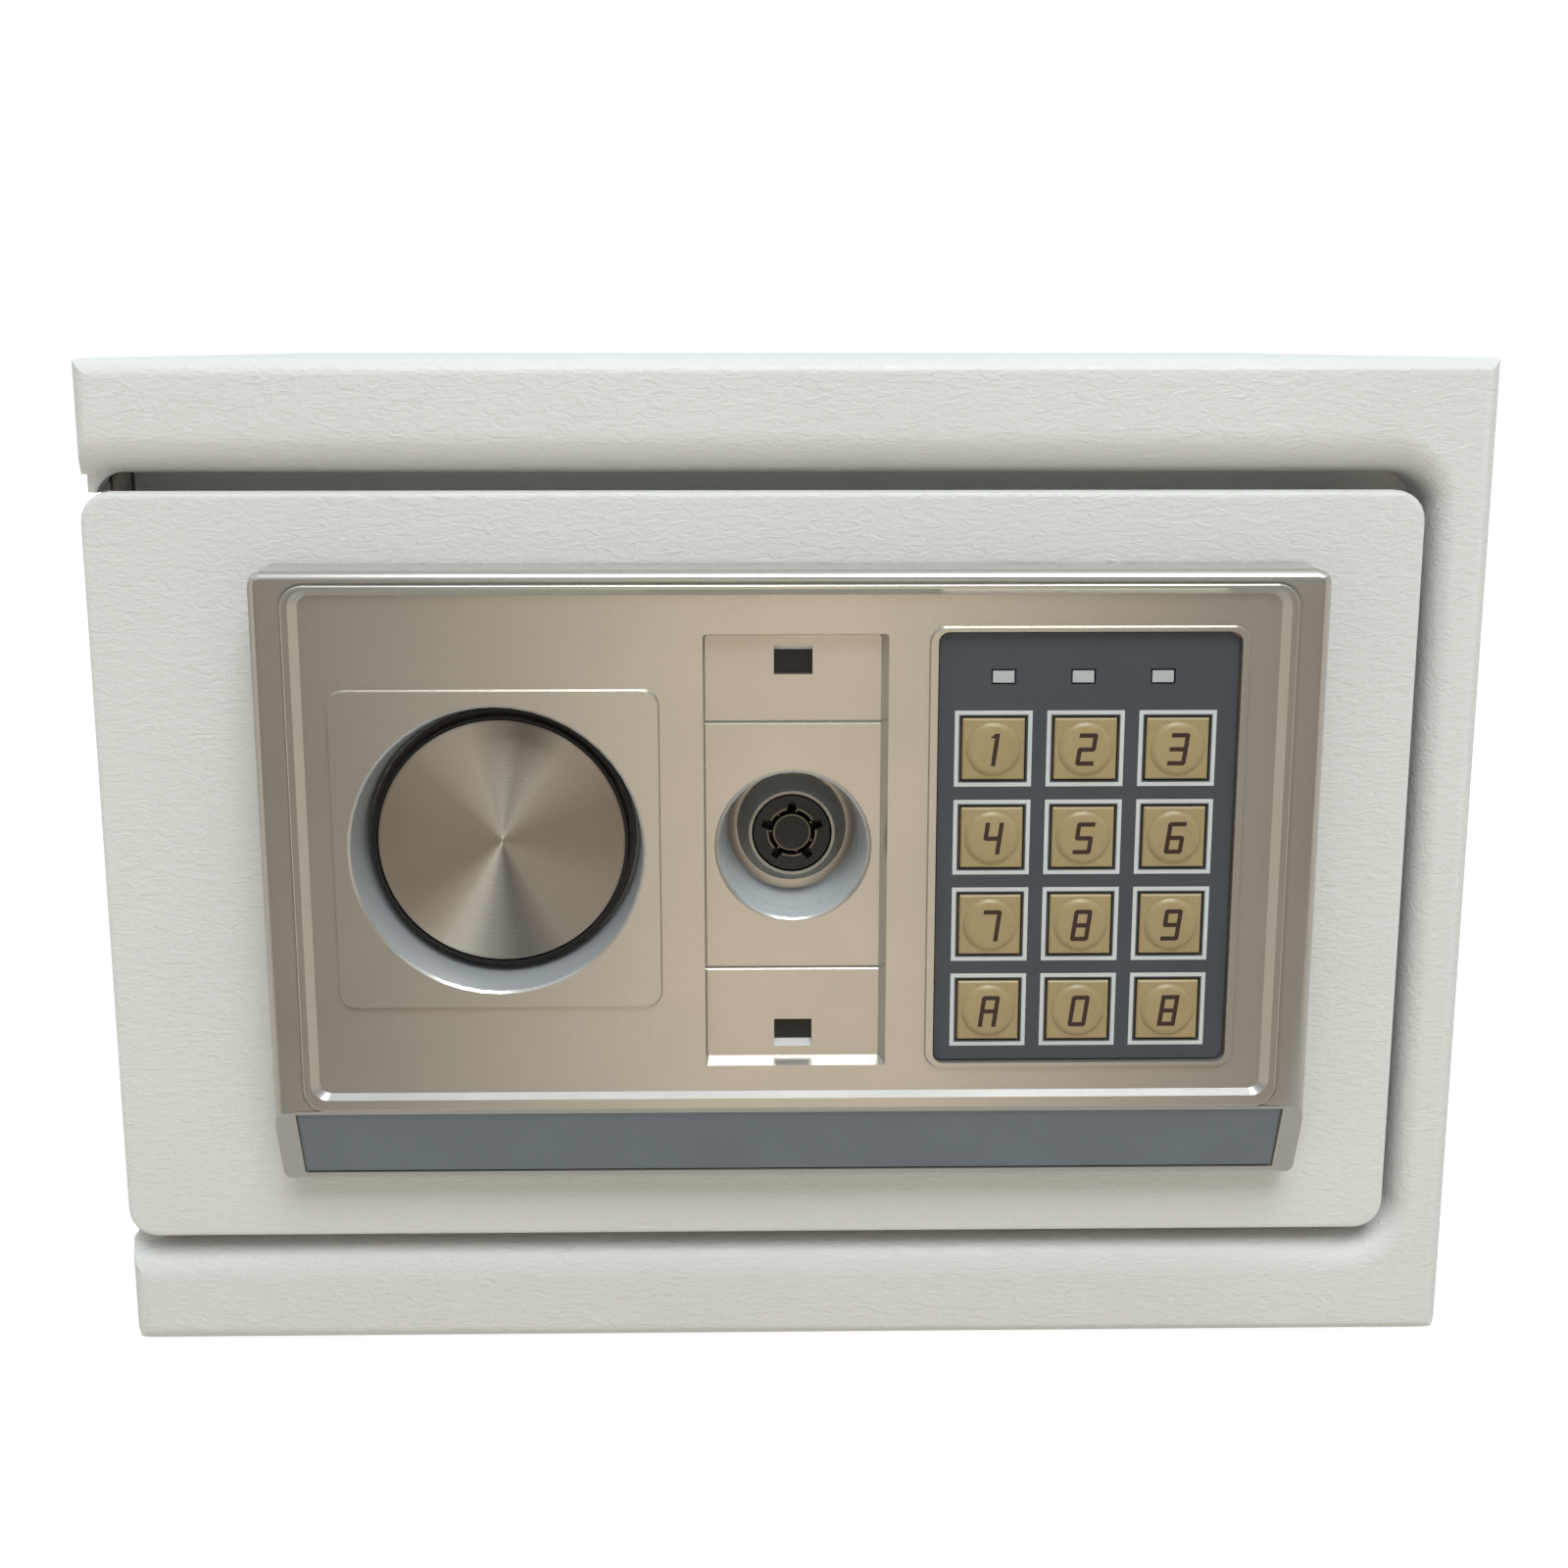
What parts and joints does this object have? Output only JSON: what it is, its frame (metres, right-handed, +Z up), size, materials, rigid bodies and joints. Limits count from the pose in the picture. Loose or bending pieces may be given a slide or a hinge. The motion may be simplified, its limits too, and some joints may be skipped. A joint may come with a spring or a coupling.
{
  "type": "electronic safe",
  "caption": "Small white steel safe with a recessed hinged door, sunk turning knob, round emergency lock, keypad and sliding locking bolts.",
  "frame": {"origin": "under the middle of the whole safe, on the surface it stands on", "axes": "+X to the right seen from the front, +Y from the door to the back, +Z up"},
  "size_m": [0.23, 0.1826, 0.17],
  "materials": {
    "powder_coat": "fine-textured off-white powder coat",
    "zinc_steel": "satin zinc-plated steel",
    "yellow_zinc": "passivated zinc plate",
    "champagne_panel": "satin champagne metallic paint",
    "strip_grey": "satin",
    "slate_overlay": "satin film",
    "key_gold": "satin",
    "disc_steel": "radially brushed",
    "black_plastic": "satin",
    "lens": "frosted",
    "circuit_green": "solder mask",
    "coil_copper": "enamelled wire",
    "red_plastic": "satin",
    "cell_sleeve": "printed sleeve, no print drawn"
  },
  "bodies": {
    "body": {"body_shell": "powder_coat", "back_panel": "powder_coat", "bolt_keeper": "zinc_steel", "hinge_bracket_upper": "zinc_steel", "hinge_bracket_lower": "zinc_steel", "hinge_pin_upper": "zinc_steel", "hinge_pin_lower": "zinc_steel"},
    "door": {"door_plate": "powder_coat", "hinge_knuckle_upper": "zinc_steel", "hinge_knuckle_lower": "zinc_steel", "panel_bezel": "champagne_panel", "bezel_strip": "strip_grey", "keypad_overlay": "slate_overlay", "led_light_bar": "lens", "keypad_board": "circuit_green", "lock_well": "champagne_panel", "shaft_bush": "yellow_zinc", "bolt_guide": "zinc_steel", "guide_stud_left": "zinc_steel", "guide_stud_right": "zinc_steel", "solenoid_frame": "yellow_zinc", "solenoid_coil": "coil_copper", "lock_cylinder": "yellow_zinc", "lock_nut": "yellow_zinc", "inner_cover": "powder_coat", "cover_screw_1": "zinc_steel", "cover_screw_2": "zinc_steel", "cover_screw_3": "zinc_steel", "cover_screw_4": "zinc_steel", "battery_box": "black_plastic", "battery_cell_1": "cell_sleeve", "battery_cell_2": "cell_sleeve", "battery_cell_3": "cell_sleeve", "battery_cell_4": "cell_sleeve", "circuit_board": "circuit_green", "reset_switch": "black_plastic"},
    "knob": {"knob_body": "black_plastic", "knob_disc": "disc_steel", "knob_shaft": "zinc_steel"},
    "bolts": {"bolt_carriage": "yellow_zinc", "locking_bolt_lower": "zinc_steel", "locking_bolt_upper": "zinc_steel"},
    "plunger": {"solenoid_plunger": "zinc_steel", "plunger_spring": "zinc_steel"},
    "lock": {"lock_core": "black_plastic", "lock_cam": "zinc_steel"},
    "battery_lid": {"battery_lid": "black_plastic"},
    "reset_button": {"reset_button": "red_plastic"},
    "key_1": {"key_1": "key_gold"},
    "key_2": {"key_2": "key_gold"},
    "key_3": {"key_3": "key_gold"},
    "key_4": {"key_4": "key_gold"},
    "key_5": {"key_5": "key_gold"},
    "key_6": {"key_6": "key_gold"},
    "key_7": {"key_7": "key_gold"},
    "key_8": {"key_8": "key_gold"},
    "key_9": {"key_9": "key_gold"},
    "key_0": {"key_0": "key_gold"},
    "key_a": {"key_a": "key_gold"},
    "key_b": {"key_b": "key_gold"}
  },
  "joints": [
    {"name": "door_hinge", "type": "hinge", "parent": "body", "child": "door", "pos_m": [-0.1098, -0.07105, 0.085], "axis": [0, 0, -1], "range_deg": [0, 95]},
    {"name": "knob_turn", "type": "hinge", "parent": "door", "child": "knob", "pos_m": [-0.0475, -0.08375, 0.092], "axis": [0, -1, 0], "range_deg": [0, 70]},
    {"name": "bolt_slide", "type": "slide", "parent": "door", "child": "bolts", "axis": [1, 0, 0], "range_m": [0, 0.01262]},
    {"name": "plunger_slide", "type": "slide", "parent": "door", "child": "plunger", "axis": [0, 0, 1], "range_m": [-0.005, 0], "stiffness_N_per_m": 60, "springref_m": -0.005, "deforming": ["plunger_spring"]},
    {"name": "key_lock_turn", "type": "hinge", "parent": "door", "child": "lock", "pos_m": [0.0003, -0.07875, 0.092], "axis": [0, 1, 0], "range_deg": [0, 90]},
    {"name": "battery_lid_hinge", "type": "hinge", "parent": "door", "child": "battery_lid", "pos_m": [-0.038, -0.03845, 0.0383], "axis": [-1, 0, 0], "range_deg": [0, 100]},
    {"name": "reset_press", "type": "slide", "parent": "door", "child": "reset_button", "axis": [0, -1, 0], "range_m": [0, 0.001], "stiffness_N_per_m": 1000},
    {"name": "key_1_press", "type": "slide", "parent": "door", "child": "key_1", "axis": [0, 1, 0], "range_m": [0, 0.0005], "stiffness_N_per_m": 2000},
    {"name": "key_2_press", "type": "slide", "parent": "door", "child": "key_2", "axis": [0, 1, 0], "range_m": [0, 0.0005], "stiffness_N_per_m": 2000},
    {"name": "key_3_press", "type": "slide", "parent": "door", "child": "key_3", "axis": [0, 1, 0], "range_m": [0, 0.0005], "stiffness_N_per_m": 2000},
    {"name": "key_4_press", "type": "slide", "parent": "door", "child": "key_4", "axis": [0, 1, 0], "range_m": [0, 0.0005], "stiffness_N_per_m": 2000},
    {"name": "key_5_press", "type": "slide", "parent": "door", "child": "key_5", "axis": [0, 1, 0], "range_m": [0, 0.0005], "stiffness_N_per_m": 2000},
    {"name": "key_6_press", "type": "slide", "parent": "door", "child": "key_6", "axis": [0, 1, 0], "range_m": [0, 0.0005], "stiffness_N_per_m": 2000},
    {"name": "key_7_press", "type": "slide", "parent": "door", "child": "key_7", "axis": [0, 1, 0], "range_m": [0, 0.0005], "stiffness_N_per_m": 2000},
    {"name": "key_8_press", "type": "slide", "parent": "door", "child": "key_8", "axis": [0, 1, 0], "range_m": [0, 0.0005], "stiffness_N_per_m": 2000},
    {"name": "key_9_press", "type": "slide", "parent": "door", "child": "key_9", "axis": [0, 1, 0], "range_m": [0, 0.0005], "stiffness_N_per_m": 2000},
    {"name": "key_0_press", "type": "slide", "parent": "door", "child": "key_0", "axis": [0, 1, 0], "range_m": [0, 0.0005], "stiffness_N_per_m": 2000},
    {"name": "key_a_press", "type": "slide", "parent": "door", "child": "key_a", "axis": [0, 1, 0], "range_m": [0, 0.0005], "stiffness_N_per_m": 2000},
    {"name": "key_b_press", "type": "slide", "parent": "door", "child": "key_b", "axis": [0, 1, 0], "range_m": [0, 0.0005], "stiffness_N_per_m": 2000}
  ],
  "couplings": [
    {"joint": "knob_turn", "follows": "bolt_slide", "rad_per_m": 96.816}
  ]
}
